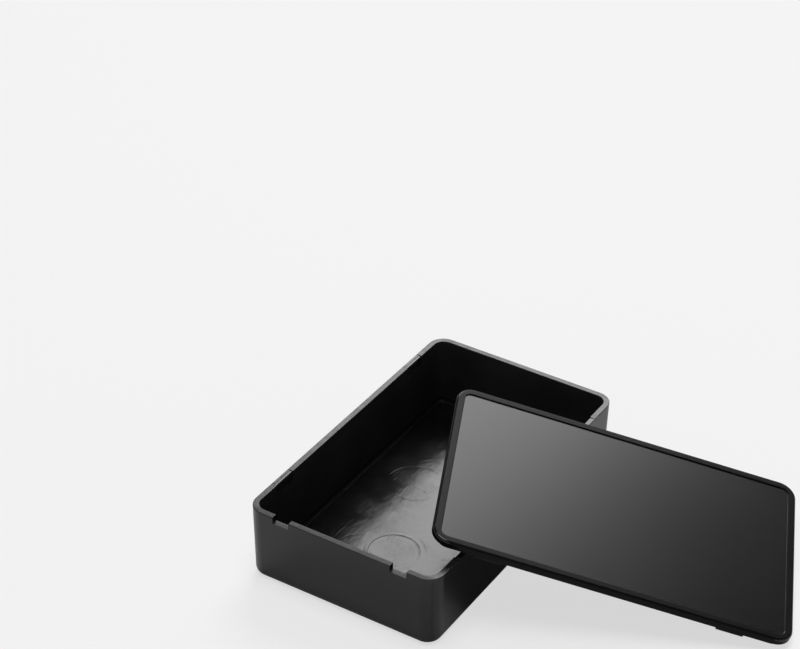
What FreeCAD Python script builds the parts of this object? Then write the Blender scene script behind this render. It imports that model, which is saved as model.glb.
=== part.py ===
import FreeCAD, Part
import math
import os

from FreeCAD import Placement, Rotation, Vector

# Snap-lid plastic project box: an open moulded tray with its flat lid leaning on it.
# The origin is the centre of the tray's flat underside. X runs along the tray's length,
# Y across its width and Z up. All sizes are in millimetres.

# overall size of the closed box
LENGTH = 100.0
WIDTH = 60.0
TRAY_HEIGHT = 23.0
PLATE = 2.0

# tray walls
WALL = 1.8
FLOOR = 1.9
DRAFT = 1.4
CORNER_R = 5.0
BASE_EDGE_R = 2.4
FLOOR_EDGE_R = 1.4
RIM_EDGE_R = 0.2

# prising notches through the rim of the front short wall
NOTCH_WIDTH = 5.1
NOTCH_DEPTH = 2.05
NOTCH_FROM_MIDDLE = 18.6

# witness marks of the mould's two round inserts in the tray's floor
INSERT_MARK_R = 7.3
INSERT_MARK_DEPTH = 0.1
INSERT_MARK_FROM_MIDDLE = 22.0

# lid plate: a raised border round a shallow panel
BORDER = 2.25
PANEL_DEPTH = 0.35
PANEL_CORNER_R = 2.0
LID_EDGE_R = 0.7
PANEL_EDGE_R = 0.15

# lid lip, which drops inside the tray's rim
LIP_DEPTH = 2.4
LIP_THICKNESS = 1.2
LIP_CLEARANCE = 0.1
LIP_LEAD_IN = 0.3

# snap tabs on the long sides of the lip
TAB_LENGTH = 7.45
TAB_FROM_MIDDLE = 33.7
TAB_DEPTH = 2.7
TAB_TOP = 1.25
TAB_CREST = 0.8
TAB_PROUD = 0.5
TAB_FLANK = 0.25

# the tray's share of each snap: a step in the rim, a channel down from it and a slot at its end
SNAP_END_CLEARANCE = 0.125
SNAP_CLEARANCE = 0.1
STEP_DEPTH = 0.15
STEP_WIDTH = 1.0
CHANNEL_DEPTH = 0.3

# how the lid leans: turned about its own normal, moved along the rim and slid down the slope
LEAN_TURN = -65.0
LEAN_SHIFT = 7.3
LEAN_SLIDE = 24.3
LEAN_GAP = 0.05

# how far a cutting solid runs past the face that it opens, and how closely an edge is matched to an outline
OVERRUN = 1.0
MATCH = 0.01

PARTS_FOLDER = "parts"


def rounded_rectangle(half_x, half_y, radius, z):
    """Return a closed wire round a rectangle with rounded corners, centred on Z."""
    flat_x = half_x - radius
    flat_y = half_y - radius
    corners = ((flat_x, flat_y, 0.0), (-flat_x, flat_y, 90.0), (-flat_x, -flat_y, 180.0), (flat_x, -flat_y, 270.0))
    arcs = []
    for x, y, start in corners:
        circle = Part.Circle(Vector(x, y, z), Vector(0, 0, 1), radius)
        arcs.append(Part.Arc(circle, math.radians(start), math.radians(start + 90.0)).toShape())
    edges = []
    for arc, following in zip(arcs, arcs[1:] + arcs[:1]):
        edges.append(arc)
        edges.append(Part.LineSegment(arc.lastVertex().Point, following.firstVertex().Point).toShape())
    return Part.Wire(edges)


def inset_outline(inset, z, radius=None):
    """Return the box's outline at the seam, drawn in by an inset on every side.

    The corners run parallel to the box's own, unless another radius is given.
    """
    corner = CORNER_R - inset if radius is None else radius
    return rounded_rectangle(LENGTH / 2 - inset, WIDTH / 2 - inset, corner, z)


def prism(inset, z_low, z_high, radius=None):
    """Return a straight-sided solid on the inset outline, between two heights."""
    face = Part.Face(inset_outline(inset, z_low, radius))
    return face.extrude(Vector(0, 0, z_high - z_low))


def taper(z):
    """Return how far the draft draws the tray's faces in at a height."""
    return (TRAY_HEIGHT - z) * math.tan(math.radians(DRAFT))


def drafted_prism(rim_inset, z_low):
    """Return a solid that has the inset outline at the rim and narrows down to a height by the draft."""
    sections = [inset_outline(rim_inset + taper(z), z) for z in (z_low, TRAY_HEIGHT)]
    return Part.makeLoft(sections, True, True)


def outline_edges(shape, inset, z):
    """Return the edges of a shape that follow the inset outline at one height."""
    found = []
    for edge in shape.Edges:
        box = edge.BoundBox
        reach_x = max(abs(box.XMin), abs(box.XMax)) - LENGTH / 2
        reach_y = max(abs(box.YMin), abs(box.YMax)) - WIDTH / 2
        level = max(abs(box.ZMin - z), abs(box.ZMax - z))
        if level < MATCH and abs(max(reach_x, reach_y) + inset) < MATCH:
            found.append(edge)
    return found


def block(x_low, x_high, y_low, y_high, z_low, z_high):
    """Return an axis-aligned box between two corners."""
    return Part.makeBox(x_high - x_low, y_high - y_low, z_high - z_low, Vector(x_low, y_low, z_low))


def across_long_sides(profile, length, x_middle):
    """Return a profile of (y, z) points extruded along X, once for each long side."""
    solids = []
    for side in (1, -1):
        points = [Vector(x_middle - length / 2, side * y, z) for y, z in profile]
        face = Part.Face(Part.makePolygon(points + points[:1]))
        solids.append(face.extrude(Vector(length, 0, 0)))
    return solids


def prising_notches():
    """Return the cutting solids of the two notches in the front short wall's rim."""
    front = -LENGTH / 2
    cutters = []
    for side in (1, -1):
        y_middle = side * NOTCH_FROM_MIDDLE
        cutters.append(block(front - OVERRUN, front + WALL + OVERRUN,
                             y_middle - NOTCH_WIDTH / 2, y_middle + NOTCH_WIDTH / 2,
                             TRAY_HEIGHT - NOTCH_DEPTH, TRAY_HEIGHT + OVERRUN))
    return cutters


def snap_seats():
    """Return the cutting solids of the seats that take the lid's tabs.

    Each seat's profile goes down from a step in the rim through a shallow channel,
    which a tab is squeezed along, to a deeper slot, which the tab's crest springs into.
    """
    length = TAB_LENGTH + 2 * SNAP_END_CLEARANCE
    inner = WIDTH / 2 - WALL
    step = inner + STEP_WIDTH
    channel = inner + CHANNEL_DEPTH
    slot = inner - LIP_CLEARANCE + TAB_PROUD + SNAP_CLEARANCE
    above = TRAY_HEIGHT + OVERRUN
    step_floor = TRAY_HEIGHT - STEP_DEPTH
    slot_top = TRAY_HEIGHT - TAB_TOP + SNAP_CLEARANCE
    slot_bottom = TRAY_HEIGHT - TAB_DEPTH - SNAP_CLEARANCE
    profile = ((inner - OVERRUN, above), (step, above), (step, step_floor), (channel, step_floor),
               (channel, slot_top), (slot, slot_top), (slot, slot_bottom), (inner - OVERRUN, slot_bottom))
    cutters = []
    for end in (1, -1):
        cutters += across_long_sides(profile, length, end * TAB_FROM_MIDDLE)
    return cutters


def insert_marks():
    """Return the cutting discs of the shallow round marks that the mould's inserts leave in the floor."""
    discs = []
    for end in (1, -1):
        centre = Vector(end * INSERT_MARK_FROM_MIDDLE, 0, FLOOR - INSERT_MARK_DEPTH)
        discs.append(Part.makeCylinder(INSERT_MARK_R, INSERT_MARK_DEPTH + OVERRUN, centre))
    return discs


def make_tray():
    """Return the moulded tray, standing on its underside."""
    outer = drafted_prism(0.0, 0.0)
    outer = outer.makeFillet(BASE_EDGE_R, outline_edges(outer, taper(0.0), 0.0))
    cavity = drafted_prism(WALL, FLOOR)
    cavity = cavity.makeFillet(FLOOR_EDGE_R, outline_edges(cavity, WALL + taper(FLOOR), FLOOR))
    shell = outer.cut(cavity)
    rim = outline_edges(shell, 0.0, TRAY_HEIGHT) + outline_edges(shell, WALL, TRAY_HEIGHT)
    shell = shell.makeFillet(RIM_EDGE_R, rim)
    shell = shell.cut(prising_notches() + snap_seats() + insert_marks())
    return shell.Solids[0]


def make_plate():
    """Return the lid's plate with its rounded border and sunken panel, its underside at Z = 0."""
    plate = prism(0.0, 0.0, PLATE)
    plate = plate.makeFillet(LID_EDGE_R, outline_edges(plate, 0.0, PLATE))
    plate = plate.cut(prism(BORDER, PLATE - PANEL_DEPTH, PLATE + OVERRUN, PANEL_CORNER_R))
    return plate.makeFillet(PANEL_EDGE_R, outline_edges(plate, BORDER, PLATE))


def make_lip():
    """Return the lip under the lid, a ring with a lead-in round its lower edge."""
    inset = WALL + LIP_CLEARANCE
    ring = prism(inset, -LIP_DEPTH, 0.0)
    ring = ring.makeChamfer(LIP_LEAD_IN, outline_edges(ring, inset, -LIP_DEPTH))
    return ring.cut(prism(inset + LIP_THICKNESS, -LIP_DEPTH - OVERRUN, OVERRUN))


def make_tabs():
    """Return the four snap tabs on the long sides of the lip."""
    face = WIDTH / 2 - WALL - LIP_CLEARANCE
    root = face - LIP_THICKNESS / 2
    profile = ((root, -TAB_TOP), (face, -TAB_TOP), (face + TAB_PROUD, -TAB_TOP - TAB_FLANK),
               (face + TAB_PROUD, -TAB_TOP - TAB_CREST), (face, -TAB_DEPTH), (root, -TAB_DEPTH))
    tabs = []
    for end in (1, -1):
        tabs += across_long_sides(profile, TAB_LENGTH, end * TAB_FROM_MIDDLE)
    return tabs


def make_lid():
    """Return the lid in its own frame, its seam face at Z = 0 and its panel up."""
    lid = make_plate().fuse([make_lip()] + make_tabs()).removeSplitter()
    return lid.Solids[0]


def leaning_place():
    """Return the placement of the lid that leans on the rim of the tray's right long wall.

    The lip's lower face lies on the rounded outer edge of that rim, and the lip's near
    corner touches the surface that the tray stands on.
    """
    turn = math.radians(LEAN_TURN)
    inset = WALL + LIP_CLEARANCE + LIP_LEAD_IN
    radius = CORNER_R - inset
    reach = (abs(math.sin(turn)) * (LENGTH / 2 - inset - radius)
             + abs(math.cos(turn)) * (WIDTH / 2 - inset - radius) + radius)
    slope_length = LEAN_SLIDE + reach
    lift = RIM_EDGE_R + LEAN_GAP
    drop = TRAY_HEIGHT - RIM_EDGE_R
    tilt = math.asin(drop / math.hypot(slope_length, lift)) + math.atan2(lift, slope_length)
    normal = Vector(0, -math.sin(tilt), math.cos(tilt))
    downhill = Vector(0, -math.cos(tilt), -math.sin(tilt))
    edge_axis = Vector(LEAN_SHIFT, RIM_EDGE_R - WIDTH / 2, drop)
    centre = edge_axis + normal * (lift + LIP_DEPTH) + downhill * LEAN_SLIDE
    rotation = Rotation(Vector(1, 0, 0), math.degrees(tilt)) * Rotation(Vector(0, 0, 1), LEAN_TURN)
    return Placement(centre, rotation)


def main():
    """Build both pieces and write one STEP file for each."""
    os.makedirs(PARTS_FOLDER, exist_ok=True)
    lid = make_lid()
    lid.Placement = leaning_place()
    for name, shape in (("tray", make_tray()), ("lid", lid)):
        shape.exportStep(os.path.join(PARTS_FOLDER, name + ".step"))
        box = shape.optimalBoundingBox(False, False)
        print("%s: %.1f cubic mm, solids %d, valid %s, x %.2f..%.2f, y %.2f..%.2f, z %.3f..%.3f"
              % (name, shape.Volume, len(shape.Solids), shape.isValid(),
                 box.XMin, box.XMax, box.YMin, box.YMax, box.ZMin, box.ZMax))


main()
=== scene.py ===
"""Studio scene of a small black plastic project box whose lid leans on its tray.

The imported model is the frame: every length is in metres, the origin is the centre of
the tray's underside, X runs along the tray and Z up. Each moulding is copied from its
solid, gets the small edge rounds that a mould leaves, and is dressed zone by zone.
"""

import logging
import math
from dataclasses import dataclass
from enum import Enum
from typing import Any, Callable, Dict, Sequence, Tuple, Union

import bpy
from mathutils import Matrix, Vector


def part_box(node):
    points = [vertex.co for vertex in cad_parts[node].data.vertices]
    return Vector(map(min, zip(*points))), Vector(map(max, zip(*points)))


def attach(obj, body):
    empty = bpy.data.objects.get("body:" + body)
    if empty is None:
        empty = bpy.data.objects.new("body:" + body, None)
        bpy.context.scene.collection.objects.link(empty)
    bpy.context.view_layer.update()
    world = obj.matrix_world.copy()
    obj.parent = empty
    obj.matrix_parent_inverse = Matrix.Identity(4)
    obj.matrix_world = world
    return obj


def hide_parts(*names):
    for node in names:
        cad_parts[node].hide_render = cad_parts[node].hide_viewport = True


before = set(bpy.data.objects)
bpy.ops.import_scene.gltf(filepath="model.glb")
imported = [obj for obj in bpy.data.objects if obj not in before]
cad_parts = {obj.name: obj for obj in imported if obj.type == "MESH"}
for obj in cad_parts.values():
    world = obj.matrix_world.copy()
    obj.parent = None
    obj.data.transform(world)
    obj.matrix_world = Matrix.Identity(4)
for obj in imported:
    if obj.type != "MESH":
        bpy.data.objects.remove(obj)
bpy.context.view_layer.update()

MM = 0.001

ORIGIN = (0.0, 0.0, 0.0)
UNTURNED = (0.0, 0.0, 0.0)
UP = Vector((0.0, 0.0, 1.0))
WHITE = (1.0, 1.0, 1.0, 1.0)

NOISE_MEAN = 0.5
NOISE_ROUGHNESS = 0.55

# The numbers of a Mix node's colour sockets, whose names it uses more than once.
MIX_COLOUR_A = 6
MIX_COLOUR_B = 7
MIX_COLOUR_RESULT = 2

LOG = logging.getLogger("project_box")

Number = Union[int, float]
Operand = Union["Signal", int, float]
Triple = Tuple[float, float, float]


class Zone(Enum):
    """The surfaces of the two mouldings that have a finish of their own."""

    TRAY_OUTSIDE = "tray_outside"
    TRAY_RIM = "tray_rim"
    TRAY_INSIDE = "tray_inside"
    TRAY_COVE = "tray_cove"
    TRAY_FLOOR = "tray_floor"
    LID_PANEL = "lid_panel"
    LID_BORDER = "lid_border"
    LID_CORNER = "lid_corner"
    LID_UNDERSIDE = "lid_underside"


@dataclass(frozen=True)
class MouldedFinish:
    """How one zone of black moulded plastic takes the light.

    Grain is the fine spark texture of the mould, and cloud a slow change of gloss.
    """

    colour: float
    roughness: float
    cloud_size: float
    cloud_range: float
    grain_size: float
    grain_depth: float
    specular: float = 0.5


FINISHES: Dict[Zone, MouldedFinish] = {
    Zone.TRAY_OUTSIDE: MouldedFinish(
        colour=0.002, roughness=0.29, cloud_size=18 * MM, cloud_range=0.03,
        grain_size=0.22 * MM, grain_depth=0.004 * MM, specular=0.55),
    Zone.TRAY_RIM: MouldedFinish(
        colour=0.010, roughness=0.275, cloud_size=1.8 * MM, cloud_range=0.11,
        grain_size=0.50 * MM, grain_depth=0.014 * MM),
    # The inside walls' colour is set about ten times the outside's: painted light that
    # lifts the shade inside the tray.
    Zone.TRAY_INSIDE: MouldedFinish(
        colour=0.022, roughness=0.40, cloud_size=14 * MM, cloud_range=0.03,
        grain_size=0.30 * MM, grain_depth=0.001 * MM, specular=0.25),
    Zone.TRAY_COVE: MouldedFinish(
        colour=0.004, roughness=0.48, cloud_size=5 * MM, cloud_range=0.05,
        grain_size=0.30 * MM, grain_depth=0.002 * MM, specular=0.05),
    Zone.TRAY_FLOOR: MouldedFinish(
        colour=0.003, roughness=0.185, cloud_size=7 * MM, cloud_range=0.04,
        grain_size=0.30 * MM, grain_depth=0.001 * MM, specular=0.48),
    Zone.LID_PANEL: MouldedFinish(
        colour=0.002, roughness=0.23, cloud_size=30 * MM, cloud_range=0.01,
        grain_size=0.20 * MM, grain_depth=0.0004 * MM),
    Zone.LID_BORDER: MouldedFinish(
        colour=0.003, roughness=0.32, cloud_size=20 * MM, cloud_range=0.02,
        grain_size=0.20 * MM, grain_depth=0.002 * MM, specular=0.12),
    Zone.LID_CORNER: MouldedFinish(
        colour=0.003, roughness=0.20, cloud_size=5 * MM, cloud_range=0.03,
        grain_size=0.20 * MM, grain_depth=0.001 * MM, specular=0.45),
    Zone.LID_UNDERSIDE: MouldedFinish(
        colour=0.004, roughness=0.34, cloud_size=12 * MM, cloud_range=0.04,
        grain_size=0.30 * MM, grain_depth=0.003 * MM, specular=0.20),
}


class Signal:
    """A number that varies over a surface: one shader socket with operators."""

    def __init__(self, bench: "NodeBench", socket: bpy.types.NodeSocket) -> None:
        """Wrap a node's output socket.

        Args:
            bench: The bench that makes the Math nodes.
            socket: The output socket that holds the number.
        """
        self.bench = bench
        self.socket = socket

    def _math(self, operation: str, *values: Operand) -> "Signal":
        """Work out one Math node.

        Args:
            operation: The node's operation, such as ADD.
            values: The node's inputs, in order.

        Returns:
            The node's result.
        """
        settings = {"operation": operation}
        node = self.bench.add("ShaderNodeMath", settings, dict(enumerate(values)))
        return Signal(self.bench, node.outputs[0])

    def __add__(self, other: Operand) -> "Signal":
        """Return self + other."""
        return self._math("ADD", self, other)

    def __radd__(self, other: Number) -> "Signal":
        """Return other + self."""
        return self._math("ADD", other, self)

    def __sub__(self, other: Operand) -> "Signal":
        """Return self - other."""
        return self._math("SUBTRACT", self, other)

    def __rsub__(self, other: Number) -> "Signal":
        """Return other - self."""
        return self._math("SUBTRACT", other, self)

    def __mul__(self, other: Operand) -> "Signal":
        """Return self * other."""
        return self._math("MULTIPLY", self, other)

    def __rmul__(self, other: Number) -> "Signal":
        """Return other * self."""
        return self._math("MULTIPLY", other, self)

    def __abs__(self) -> "Signal":
        """Return the absolute value."""
        return self._math("ABSOLUTE", self)

    def root(self) -> "Signal":
        """Return the square root."""
        return self._math("SQRT", self)

    def smooth_step(self, low: float, high: float) -> "Signal":
        """Return a soft step of this signal.

        Args:
            low: The value at and below which the step is 0.
            high: The value at and above which the step is 1.

        Returns:
            A signal between 0 and 1.
        """
        node = self.bench.add(
            "ShaderNodeMapRange",
            {"interpolation_type": "SMOOTHSTEP", "clamp": True},
            {"Value": self, "From Min": low, "From Max": high},
        )
        return Signal(self.bench, node.outputs["Result"])


class NodeBench:
    """Adds nodes to one node tree and feeds their sockets."""

    def __init__(self, tree: bpy.types.NodeTree) -> None:
        """Start with an empty tree.

        Args:
            tree: The node tree of a material or of the world.
        """
        self.tree = tree
        self.tree.nodes.clear()

    def add(self, kind: str, settings: Dict[str, Any],
            inputs: Dict[Any, Any]) -> bpy.types.Node:
        """Add one node.

        Args:
            kind: The node's type, such as ShaderNodeMath.
            settings: Attributes of the node, set before its sockets.
            inputs: A value, a Signal or a socket for each named or numbered input.

        Returns:
            The new node.
        """
        node = self.tree.nodes.new(kind)
        for name, value in settings.items():
            setattr(node, name, value)
        for key, value in inputs.items():
            self.feed(node.inputs[key], value)
        return node

    def feed(self, socket: bpy.types.NodeSocket, value: Any) -> None:
        """Give an input socket a value or a link.

        Args:
            socket: The input socket.
            value: A plain value, or a Signal or an output socket to link.
        """
        if isinstance(value, Signal):
            value = value.socket
        if isinstance(value, bpy.types.NodeSocket):
            self.tree.links.new(value, socket)
        else:
            socket.default_value = value


class ShaderBench(NodeBench):
    """Builds one material's node tree round a Principled shader."""

    def __init__(self, name: str) -> None:
        """Start a material with its shader and output.

        Args:
            name: The material's name.
        """
        self.material = bpy.data.materials.new(name)
        self.material.use_nodes = True
        super().__init__(self.material.node_tree)
        self.output = self.add("ShaderNodeOutputMaterial", {}, {})
        self.shader = self.add("ShaderNodeBsdfPrincipled", {}, {})
        self.feed(self.output.inputs["Surface"], self.shader.outputs["BSDF"])

    def place(self, centre: Sequence[float] = ORIGIN,
              turn: Sequence[float] = UNTURNED) -> bpy.types.NodeSocket:
        """Return Object coordinates counted from a centre, along turned axes.

        Args:
            centre: The point that becomes the origin.
            turn: The turn of the wanted axes, as Euler angles in radians.

        Returns:
            The vector socket of the centred coordinates.
        """
        coordinates = self.add("ShaderNodeTexCoord", {}, {})
        mapping = self.add(
            "ShaderNodeMapping",
            {"vector_type": "TEXTURE"},
            {"Vector": coordinates.outputs["Object"], "Location": centre,
             "Rotation": turn},
        )
        return mapping.outputs["Vector"]

    def axes(self, place: bpy.types.NodeSocket) -> Tuple[Signal, Signal, Signal]:
        """Return the x, y and z of a vector socket as signals."""
        split = self.add("ShaderNodeSeparateXYZ", {}, {"Vector": place})
        return tuple(Signal(self, out) for out in split.outputs)

    def noise(self, place: bpy.types.NodeSocket, size: float, detail: float = 2.0,
              distortion: float = 0.0) -> Signal:
        """Return noise between 0 and 1.

        Args:
            place: The vector socket that the noise reads.
            size: The rough size of one blotch, in metres.
            detail: How many finer layers are added.
            distortion: How far the pattern is swirled.

        Returns:
            The noise as a signal.
        """
        node = self.add(
            "ShaderNodeTexNoise",
            {"noise_dimensions": "3D"},
            {"Vector": place, "Scale": 1.0 / size, "Detail": detail,
             "Roughness": NOISE_ROUGHNESS, "Distortion": distortion},
        )
        return Signal(self, node.outputs["Fac"])

    def stretched(self, place: bpy.types.NodeSocket,
                  factors: Sequence[float]) -> bpy.types.NodeSocket:
        """Return a vector socket whose axes are scaled, to stretch a pattern on it.

        Args:
            place: The vector socket to scale.
            factors: The factor of each axis. One below 1 draws the pattern out.

        Returns:
            The scaled vector socket.
        """
        node = self.add("ShaderNodeVectorMath", {"operation": "MULTIPLY"},
                        {0: place, 1: tuple(factors)})
        return node.outputs["Vector"]


@dataclass
class MouldedMaterial:
    """The material of one zone, built from its finish."""

    zone: Zone
    centre: Sequence[float] = ORIGIN
    turn: Sequence[float] = UNTURNED
    lighter_by: float = 1.5
    lighter_from: float = 0.35
    lighter_to: float = 0.75

    def build(self) -> bpy.types.Material:
        """Build the zone's material.

        Returns:
            The finished material.
        """
        finish = FINISHES[self.zone]
        bench = ShaderBench(self.zone.value)
        place = bench.place(self.centre, self.turn)
        shader = bench.shader.inputs
        bench.feed(shader["Specular IOR Level"], finish.specular)
        bench.feed(shader["Base Color"], self.colour(bench, place, finish))
        bench.feed(shader["Roughness"], self.gloss(bench, place, finish))
        height = self.relief(bench, place, finish)
        bump = bench.add("ShaderNodeBump", {},
                         {"Strength": 1.0, "Distance": 1.0, "Height": height})
        bench.feed(shader["Normal"], bump.outputs["Normal"])
        return bench.material

    def colour(self, bench: ShaderBench, place: bpy.types.NodeSocket,
               finish: MouldedFinish) -> bpy.types.NodeSocket:
        """Return the base colour: near black, a little uneven.

        Args:
            bench: The material's bench.
            place: The vector socket of the piece's coordinates.
            finish: The zone's finish.

        Returns:
            The colour's socket.
        """
        dark = finish.colour
        light = self.lighter_by * dark
        cloud = bench.noise(place, finish.cloud_size, detail=3.0)
        uneven = cloud.smooth_step(self.lighter_from, self.lighter_to)
        mix = bench.add("ShaderNodeMix", {"data_type": "RGBA"},
                        {"Factor": uneven,
                         MIX_COLOUR_A: (dark, dark, dark, 1.0),
                         MIX_COLOUR_B: (light, light, light, 1.0)})
        return mix.outputs[MIX_COLOUR_RESULT]

    def gloss(self, bench: ShaderBench, place: bpy.types.NodeSocket,
              finish: MouldedFinish) -> Signal:
        """Return the roughness: the finish's own, with slow clouds in it.

        Args:
            bench: The material's bench.
            place: The vector socket of the piece's coordinates.
            finish: The zone's finish.

        Returns:
            The roughness.
        """
        noise = bench.noise(place, finish.cloud_size, detail=4.0, distortion=0.6)
        cloud = noise - NOISE_MEAN
        return finish.roughness + cloud * (2 * finish.cloud_range)

    def relief(self, bench: ShaderBench, place: bpy.types.NodeSocket,
               finish: MouldedFinish) -> Signal:
        """Return the spark grain as a height, in metres."""
        return bench.noise(place, finish.grain_size, detail=2.0) * finish.grain_depth


@dataclass
class RimMaterial(MouldedMaterial):
    """The rim: mottled, and dullest along the notched short side.

    It is a little glossier over the seats of the lid's tabs, with a fine seam across
    it at each end of a seat.
    """

    zone: Zone = Zone.TRAY_RIM
    front_from: float = -49.0 * MM
    front_to: float = -47.4 * MM
    front_dullness: float = 0.21
    back_from: float = 47.8 * MM
    back_to: float = 48.6 * MM
    back_dullness: float = 0.035
    seat_middle: float = 33.7 * MM
    seat_half: float = 3.8 * MM
    seat_fade: float = 0.2 * MM
    seat_polish: float = 0.07
    seam_width: float = 0.16 * MM
    seam_depth: float = 0.05 * MM

    def gloss(self, bench: ShaderBench, place: bpy.types.NodeSocket,
              finish: MouldedFinish) -> Signal:
        """Return the roughness, raised along the short sides, lowered at the seats.

        Args:
            bench: The material's bench.
            place: The vector socket of the piece's coordinates.
            finish: The rim's finish.

        Returns:
            The roughness.
        """
        x, _, _ = bench.axes(place)
        front = 1.0 - x.smooth_step(self.front_from, self.front_to)
        back = x.smooth_step(self.back_from, self.back_to)
        from_seat = abs(abs(x) - self.seat_middle)
        fade_from = self.seat_half - self.seat_fade
        seat = 1.0 - from_seat.smooth_step(fade_from, self.seat_half)
        dullness = front * self.front_dullness + back * self.back_dullness
        polish = seat * self.seat_polish
        return super().gloss(bench, place, finish) + (dullness - polish)

    def relief(self, bench: ShaderBench, place: bpy.types.NodeSocket,
               finish: MouldedFinish) -> Signal:
        """Return the grain, with a seam across the rim at each end of a seat.

        Args:
            bench: The material's bench.
            place: The vector socket of the piece's coordinates.
            finish: The rim's finish.

        Returns:
            The height, in metres.
        """
        x, _, _ = bench.axes(place)
        from_end = abs(abs(abs(x) - self.seat_middle) - self.seat_half)
        seam = 1.0 - from_end.smooth_step(0.0, self.seam_width)
        return super().relief(bench, place, finish) - seam * self.seam_depth


@dataclass(frozen=True)
class Ring:
    """A faint round mark on the tray's floor.

    Its place is measured from the tray's middle. The floor's material fades it in and
    out with noise, so that only parts of the circle show.
    """

    x: float
    y: float
    radius: float
    width: float
    depth: float

    def height(self, x: Signal, y: Signal) -> Signal:
        """Return the mark as a height below the floor.

        Args:
            x: The place along the tray.
            y: The place across the tray.

        Returns:
            The height, in metres: 0 away from the mark and below 0 on it.
        """
        across = x - self.x
        along = y - self.y
        distance = (across * across + along * along).root()
        ridge = 1.0 - abs(distance - self.radius).smooth_step(0.0, self.width)
        return ridge * (-self.depth)


@dataclass
class FloorMaterial(MouldedMaterial):
    """The tray's floor: glossy, with faint rings, lines and scratches.

    The bow turns the shading alone, to set where the edge mirrored in the floor falls.
    The mesh is flat.
    """

    zone: Zone = Zone.TRAY_FLOOR
    bow: float = 0.52 * MM
    bow_from: float = 4.0 * MM
    bow_to: float = 22.0 * MM
    scratch_size: float = 0.55 * MM
    scratch_depth: float = 0.050 * MM
    scratch_stretch: float = 0.22
    patch_size: float = 8.0 * MM
    patch_from: float = 0.32
    patch_to: float = 0.62
    fade_from: float = 0.35
    fade_to: float = 0.6
    ripple_size: float = 3.0 * MM
    ripple_depth: float = 0.014 * MM
    rings: Tuple[Ring, ...] = (
        Ring(x=-22.0 * MM, y=0.0 * MM, radius=8.5 * MM, width=0.9 * MM,
             depth=0.034 * MM),
        Ring(x=-22.0 * MM, y=0.0 * MM, radius=6.6 * MM, width=0.7 * MM,
             depth=0.024 * MM),
        Ring(x=22.0 * MM, y=0.0 * MM, radius=8.5 * MM, width=0.9 * MM,
             depth=0.034 * MM),
        Ring(x=22.0 * MM, y=0.0 * MM, radius=6.6 * MM, width=0.7 * MM,
             depth=0.024 * MM),
        Ring(x=7.5 * MM, y=11.5 * MM, radius=8.0 * MM, width=0.4 * MM,
             depth=0.028 * MM),
        Ring(x=13.5 * MM, y=8.0 * MM, radius=8.0 * MM, width=0.4 * MM,
             depth=0.020 * MM),
        Ring(x=-25.5 * MM, y=10.2 * MM, radius=4.9 * MM, width=0.4 * MM,
             depth=0.016 * MM),
    )
    seams: Tuple[float, ...] = (17.2 * MM, 18.4 * MM)
    seam_width: float = 0.30 * MM
    seam_depth: float = 0.012 * MM

    def relief(self, bench: ShaderBench, place: bpy.types.NodeSocket,
               finish: MouldedFinish) -> Signal:
        """Return the floor's grain, bow, ripples, scratches, rings and seams.

        Args:
            bench: The material's bench.
            place: The vector socket of the piece's coordinates.
            finish: The floor's finish.

        Returns:
            All of them as one height, in metres.
        """
        x, y, _ = bench.axes(place)
        height = super().relief(bench, place, finish)
        height = height - abs(y).smooth_step(self.bow_from, self.bow_to) * self.bow
        ripple = bench.noise(place, self.ripple_size, detail=1.0)
        height = height + ripple * self.ripple_depth
        height = height + self.scratches(bench, place)
        patches = bench.noise(place, self.patch_size, detail=1.0)
        fade = patches.smooth_step(self.fade_from, self.fade_to)
        for ring in self.rings:
            height = height + ring.height(x, y) * fade
        for seam in self.seams:
            line = 1.0 - abs(abs(y) - seam).smooth_step(0.0, self.seam_width)
            height = height - line * fade * self.seam_depth
        return height

    def scratches(self, bench: ShaderBench, place: bpy.types.NodeSocket) -> Signal:
        """Return fine scratches, long along X and swirled, in patches.

        Args:
            bench: The material's bench.
            place: The vector socket of the piece's coordinates.

        Returns:
            The scratches as a height, in metres.
        """
        long_way = bench.stretched(place, (self.scratch_stretch, 1.0, 1.0))
        lines = bench.noise(long_way, self.scratch_size, detail=4.0, distortion=1.0)
        patches = bench.noise(place, self.patch_size, detail=2.0)
        scratched = patches.smooth_step(self.patch_from, self.patch_to)
        return lines * scratched * self.scratch_depth


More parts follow.
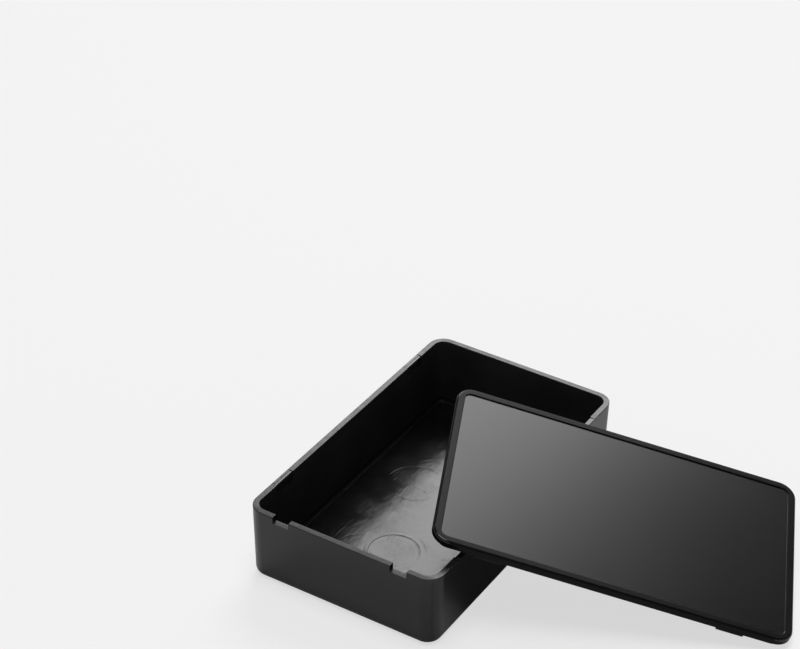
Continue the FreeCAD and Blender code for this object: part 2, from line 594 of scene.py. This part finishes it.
@dataclass
class Moulding:
    """One moulded piece, copied from its solid and finished as a mesh."""

    node: str
    name: str
    edge_round: float = 0.10 * MM
    edge_segments: int = 2
    sharp_from_deg: float = 32.0
    smooth_margin_deg: float = 8.0
    weld: float = 0.0005 * MM
    flat_within_deg: float = 0.3

    def copy_solid(self) -> bpy.types.Object:
        """Copy the solid's mesh and merge its loose triangles.

        Returns:
            The new object, active and alone selected.
        """
        bpy.ops.object.select_all(action="DESELECT")
        piece = bpy.data.objects.new(self.name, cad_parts[self.node].data.copy())
        piece.data.name = self.name
        bpy.context.scene.collection.objects.link(piece)
        bpy.context.view_layer.objects.active = piece
        piece.select_set(True)
        if piece.data.has_custom_normals:
            bpy.ops.mesh.customdata_custom_splitnormals_clear()
        bpy.ops.object.mode_set(mode="EDIT")
        bpy.ops.mesh.select_all(action="SELECT")
        bpy.ops.mesh.remove_doubles(threshold=self.weld)
        bpy.ops.mesh.dissolve_limited(angle_limit=math.radians(self.flat_within_deg))
        bpy.ops.object.mode_set(mode="OBJECT")
        return piece

    def round_edges(self, piece: bpy.types.Object) -> None:
        """Round the edges that the solid leaves sharp, and keep the flats flat.

        Args:
            piece: The copied piece, active and selected.
        """
        bevel = piece.modifiers.new("edge_round", "BEVEL")
        bevel.width = self.edge_round
        bevel.segments = self.edge_segments
        bevel.limit_method = "ANGLE"
        bevel.angle_limit = math.radians(self.sharp_from_deg)
        bevel.use_clamp_overlap = True
        bpy.ops.object.modifier_apply(modifier=bevel.name)
        smooth_to = math.radians(self.sharp_from_deg + self.smooth_margin_deg)
        bpy.ops.object.shade_smooth_by_angle(angle=smooth_to)
        flats = piece.modifiers.new("flat_faces", "WEIGHTED_NORMAL")
        flats.mode = "FACE_AREA"
        flats.keep_sharp = True
        bpy.ops.object.modifier_apply(modifier=flats.name)

    def dress(self, piece: bpy.types.Object,
              zone_of: Callable[[bpy.types.MeshPolygon], Zone],
              materials: Dict[Zone, bpy.types.Material]) -> None:
        """Give each face the material of its zone.

        Args:
            piece: The finished mesh object.
            zone_of: Says which zone a face belongs to.
            materials: The material of each zone.
        """
        zones = list(materials)
        piece.data.materials.clear()
        for zone in zones:
            piece.data.materials.append(materials[zone])
        for face in piece.data.polygons:
            face.material_index = zones.index(zone_of(face))

    def declare(self, piece: bpy.types.Object) -> None:
        """Attach the piece to the root body, hide the solid it was copied from and log
        its faces.

        Args:
            piece: The dressed piece.
        """
        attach(piece, "root")
        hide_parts(self.node)
        LOG.info("%s: %d faces", piece.name, len(piece.data.polygons))


@dataclass
class Tray:
    """The open tray: drafted walls, a rounded rim and a smooth floor.

    Its fields sort the faces into zones. The last five are two shares, of the wall's
    and of the floor's thickness, and three limits on the upward part of a normal.
    """

    wall: float = 1.8 * MM
    floor: float = 1.9 * MM
    floor_edge: float = 1.4 * MM
    rim_round: float = 0.25 * MM
    notch_depth: float = 2.05 * MM
    inside_from_wall: float = 0.7
    inside_from_floor: float = 0.5
    rim_rise: float = 0.3
    floor_rise: float = 0.985
    cove_rise: float = 0.1

    def __post_init__(self) -> None:
        """Read the tray's reach from the frame."""
        _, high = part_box("tray")
        self.half_x = high.x
        self.half_y = high.y
        self.top = high.z

    def zone_of(self, face: bpy.types.MeshPolygon) -> Zone:
        """Sort a face by its place and the way it faces.

        Args:
            face: A face of the tray's mesh.

        Returns:
            The face's zone.
        """
        centre = face.center
        rise = face.normal.z
        skin = self.inside_from_wall * self.wall
        inside_x = abs(centre.x) < self.half_x - skin
        inside_y = abs(centre.y) < self.half_y - skin
        rim_bottom = self.top - self.notch_depth - self.rim_round
        if centre.z > rim_bottom and rise > self.rim_rise:
            return Zone.TRAY_RIM
        if inside_x and inside_y and centre.z > self.inside_from_floor * self.floor:
            low = centre.z < self.floor + self.floor_edge
            if low and rise > self.floor_rise:
                return Zone.TRAY_FLOOR
            return Zone.TRAY_COVE if rise > self.cove_rise else Zone.TRAY_INSIDE
        return Zone.TRAY_OUTSIDE

    def build(self) -> bpy.types.Object:
        """Build, round and dress the tray.

        Returns:
            The finished piece.
        """
        moulding = Moulding(node="tray", name="tray_moulding")
        piece = moulding.copy_solid()
        moulding.round_edges(piece)
        materials = {
            Zone.TRAY_OUTSIDE: MouldedMaterial(Zone.TRAY_OUTSIDE).build(),
            Zone.TRAY_RIM: RimMaterial().build(),
            Zone.TRAY_INSIDE: MouldedMaterial(Zone.TRAY_INSIDE).build(),
            Zone.TRAY_COVE: MouldedMaterial(Zone.TRAY_COVE).build(),
            Zone.TRAY_FLOOR: FloorMaterial().build(),
        }
        moulding.dress(piece, self.zone_of, materials)
        moulding.declare(piece)
        return piece


@dataclass
class Lid:
    """The flat lid: a raised border round a shallow panel, leaning on the tray.

    The last seven fields sort the faces into zones. They are three shares, of the
    plate's thickness and of the panel's depth, and four limits on the part of a normal
    that points along the lid's own upward axis.
    """

    tilt_deg: float = 16.99
    turn_deg: float = -65.0
    length: float = 100.0 * MM
    width: float = 60.0 * MM
    plate: float = 2.0 * MM
    panel_depth: float = 0.35 * MM
    corner: float = 5.0 * MM
    edge_round: float = 0.08 * MM
    underside_from: float = 1.1
    panel_from: float = 0.5
    panel_to: float = 1.5
    underside_rise: float = -0.3
    panel_rise: float = 0.9
    edge_rise_from: float = 0.05
    edge_rise_to: float = 0.95

    def __post_init__(self) -> None:
        """Work out the lid's axes, middle and top from its lean and the frame."""
        tilt = Matrix.Rotation(math.radians(self.tilt_deg), 3, "X")
        turn = Matrix.Rotation(math.radians(self.turn_deg), 3, "Z")
        self.axes = tilt @ turn
        self.upward = self.axes.col[2].copy()
        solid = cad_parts["lid"].data
        self.top = max(vertex.co.dot(self.upward) for vertex in solid.vertices)
        low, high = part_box("lid")
        self.centre = (low + high) / 2

    def zone_of(self, face: bpy.types.MeshPolygon) -> Zone:
        """Sort a face by its depth below the lid's top and the way it faces.

        Args:
            face: A face of the lid's mesh.

        Returns:
            The face's zone.
        """
        depth = self.top - face.center.dot(self.upward)
        rise = face.normal.dot(self.upward)
        if rise < self.underside_rise or depth > self.underside_from * self.plate:
            return Zone.LID_UNDERSIDE
        shallow = self.panel_from * self.panel_depth
        deep = self.panel_to * self.panel_depth
        if rise > self.panel_rise and shallow < depth < deep:
            return Zone.LID_PANEL
        return Zone.LID_CORNER if self.on_corner_edge(face) else Zone.LID_BORDER

    def on_corner_edge(self, face: bpy.types.MeshPolygon) -> bool:
        """Say whether a face is on the rounded outer edge at one of the corners.

        Args:
            face: A face of the lid's mesh.

        Returns:
            True on the edges that get the glossier finish.
        """
        from_middle = face.center - self.centre
        flat_length = self.length / 2 - self.corner
        flat_width = self.width / 2 - self.corner
        past_length = abs(from_middle.dot(self.axes.col[0])) > flat_length
        past_width = abs(from_middle.dot(self.axes.col[1])) > flat_width
        outward = face.normal.dot(from_middle) > 0.0
        rise = face.normal.dot(self.upward)
        rounded = self.edge_rise_from < rise < self.edge_rise_to
        return past_length and past_width and outward and rounded

    def build(self) -> bpy.types.Object:
        """Build, round and dress the lid.

        Returns:
            The finished piece.
        """
        moulding = Moulding("lid", "lid_moulding", edge_round=self.edge_round)
        piece = moulding.copy_solid()
        moulding.round_edges(piece)
        turn = tuple(self.axes.to_euler())
        zones = (Zone.LID_PANEL, Zone.LID_BORDER, Zone.LID_CORNER, Zone.LID_UNDERSIDE)
        materials = {
            zone: MouldedMaterial(zone, centre=self.centre, turn=turn).build()
            for zone in zones
        }
        moulding.dress(piece, self.zone_of, materials)
        moulding.declare(piece)
        return piece


@dataclass(frozen=True)
class Softbox:
    """A rectangular studio lamp on a stand.

    Heading is the way from the tray to the lamp, counted from +X towards +Y. An upright
    lamp has no tilt, and one that faces straight down has a tilt of 90 degrees.
    """

    name: str
    heading_deg: float
    distance: float
    height: float
    tilt_deg: float
    width: float
    tall: float
    radiance: float

    def build(self) -> bpy.types.Object:
        """Set the lamp up.

        Returns:
            The lamp's object.
        """
        heading = math.radians(self.heading_deg)
        tilt = math.radians(self.tilt_deg)
        outward = Vector((math.cos(heading), math.sin(heading), 0.0))
        facing = -math.cos(tilt) * outward - math.sin(tilt) * UP
        lamp = bpy.data.lights.new(self.name, "AREA")
        lamp.shape = "RECTANGLE"
        lamp.size = self.width
        lamp.size_y = self.tall
        lamp.energy = self.radiance * self.width * self.tall * math.pi
        hung = bpy.data.objects.new(self.name, lamp)
        bpy.context.scene.collection.objects.link(hung)
        hung.location = self.distance * outward + self.height * UP
        hung.rotation_euler = facing.to_track_quat("-Z", "Y").to_euler()
        return hung


@dataclass
class Studio:
    """A pale table, soft lamps, a plain world and the camera.

    The two white shares say how much of the table's colour is a plain white that
    ignores the light, where it is seen straight and where something glossy mirrors it.
    The second is small, so that the black walls mirror the table's own shadow.
    """

    table_reach: float = 6.0
    table_sides: int = 96
    table_colour: float = 0.86
    table_roughness: float = 0.75
    table_specular: float = 0.2
    paper_size: float = 60.0 * MM
    paper_range: float = 0.05
    white_share: float = 0.65
    mirrored_white_share: float = 0.01
    world_horizon: float = 0.85
    world_ceiling: float = 0.05
    horizon_to_deg: float = 2.0
    ceiling_from_deg: float = 24.0
    camera_place: Triple = (-0.4531, -0.2668, 0.4117)
    camera_heading_deg: float = 31.67
    camera_dip_deg: float = 33.41
    camera_roll_deg: float = 0.88
    lens: float = 105.2
    sensor: float = 36.0
    nearest_seen: float = 0.01
    farthest_seen: float = 50.0
    softboxes: Tuple[Softbox, ...] = (
        Softbox("back_softbox", heading_deg=16.9, distance=1.5, height=1.5,
                tilt_deg=0.0, width=1.13, tall=1.45, radiance=5.45),
        Softbox("top_softbox", heading_deg=200.0, distance=0.15, height=1.9,
                tilt_deg=90.0, width=0.9, tall=0.9, radiance=6.2),
    )

    def lay_table(self) -> None:
        """Lay the pale table top, with its surface at the tray's underside."""
        bpy.ops.object.select_all(action="DESELECT")
        bpy.ops.mesh.primitive_circle_add(
            vertices=self.table_sides, radius=self.table_reach, fill_type="NGON",
            location=ORIGIN)
        table = bpy.context.active_object
        table.name = "table_top"
        bench = ShaderBench("pale_table")
        tone = self.table_colour
        shader = bench.shader.inputs
        paper = bench.noise(bench.place(), self.paper_size, detail=3.0) - NOISE_MEAN
        roughness = self.table_roughness + paper * self.paper_range
        bench.feed(shader["Base Color"], (tone, tone, tone, 1.0))
        bench.feed(shader["Roughness"], roughness)
        bench.feed(shader["Specular IOR Level"], self.table_specular)
        self.whiten(bench)
        table.data.materials.append(bench.material)

    def whiten(self, bench: ShaderBench) -> None:
        """Mix plain white into the table for the camera and, barely, for mirrors.

        Args:
            bench: The bench of the table's material.
        """
        white = bench.add("ShaderNodeEmission", {}, {"Color": WHITE, "Strength": 1.0})
        sight = bench.add("ShaderNodeLightPath", {}, {})
        camera = Signal(bench, sight.outputs["Is Camera Ray"])
        passed = Signal(bench, sight.outputs["Is Transmission Ray"])
        mirrored = Signal(bench, sight.outputs["Is Glossy Ray"])
        straight = (camera + passed) * self.white_share
        seen = straight + mirrored * self.mirrored_white_share
        # A Mix Shader's sockets are its factor and its two shaders.
        mix = bench.add("ShaderNodeMixShader", {},
                        {0: seen, 1: bench.shader.outputs["BSDF"],
                         2: white.outputs["Emission"]})
        bench.feed(bench.output.inputs["Surface"], mix.outputs["Shader"])

    def light_world(self) -> None:
        """Light the room: bright near the horizon, dim overhead."""
        world = bpy.data.worlds.new("studio_room")
        bpy.context.scene.world = world
        world.use_nodes = True
        bench = NodeBench(world.node_tree)
        coordinates = bench.add("ShaderNodeTexCoord", {}, {})
        split = bench.add("ShaderNodeSeparateXYZ", {},
                          {"Vector": coordinates.outputs["Generated"]})
        rise = bench.add(
            "ShaderNodeMapRange",
            {"interpolation_type": "SMOOTHSTEP"},
            {"Value": split.outputs["Z"],
             "From Min": math.sin(math.radians(self.horizon_to_deg)),
             "From Max": math.sin(math.radians(self.ceiling_from_deg)),
             "To Min": self.world_horizon,
             "To Max": self.world_ceiling},
        )
        background = bench.add("ShaderNodeBackground", {},
                               {"Color": WHITE, "Strength": rise.outputs["Result"]})
        bench.add("ShaderNodeOutputWorld", {},
                  {"Surface": background.outputs["Background"]})

    def place_camera(self) -> None:
        """Stand the camera where the picture was taken from, with its small roll."""
        heading = math.radians(self.camera_heading_deg)
        dip = math.radians(self.camera_dip_deg)
        forward = Vector((math.cos(heading) * math.cos(dip),
                          math.sin(heading) * math.cos(dip),
                          -math.sin(dip)))
        level = forward.to_track_quat("-Z", "Y").to_matrix()
        rolled = level @ Matrix.Rotation(math.radians(self.camera_roll_deg), 3, "Z")
        lens = bpy.data.cameras.new("studio_camera")
        lens.lens = self.lens
        lens.sensor_width = self.sensor
        lens.sensor_fit = "HORIZONTAL"
        lens.clip_start = self.nearest_seen
        lens.clip_end = self.farthest_seen
        camera = bpy.data.objects.new("studio_camera", lens)
        bpy.context.scene.collection.objects.link(camera)
        camera.location = self.camera_place
        camera.rotation_euler = rolled.to_euler()
        bpy.context.scene.camera = camera

    def build(self) -> None:
        """Set the whole studio up."""
        self.lay_table()
        self.light_world()
        for softbox in self.softboxes:
            softbox.build()
        self.place_camera()
        bpy.context.scene.view_settings.view_transform = "Standard"


def main() -> None:
    """Build the box and its studio, in order."""
    logging.basicConfig(level=logging.INFO, format="%(name)s: %(message)s")
    for piece in (Tray().build(), Lid().build()):
        LOG.info("built %s", piece.name)
    Studio().build()


if __name__ == "__main__":
    main()
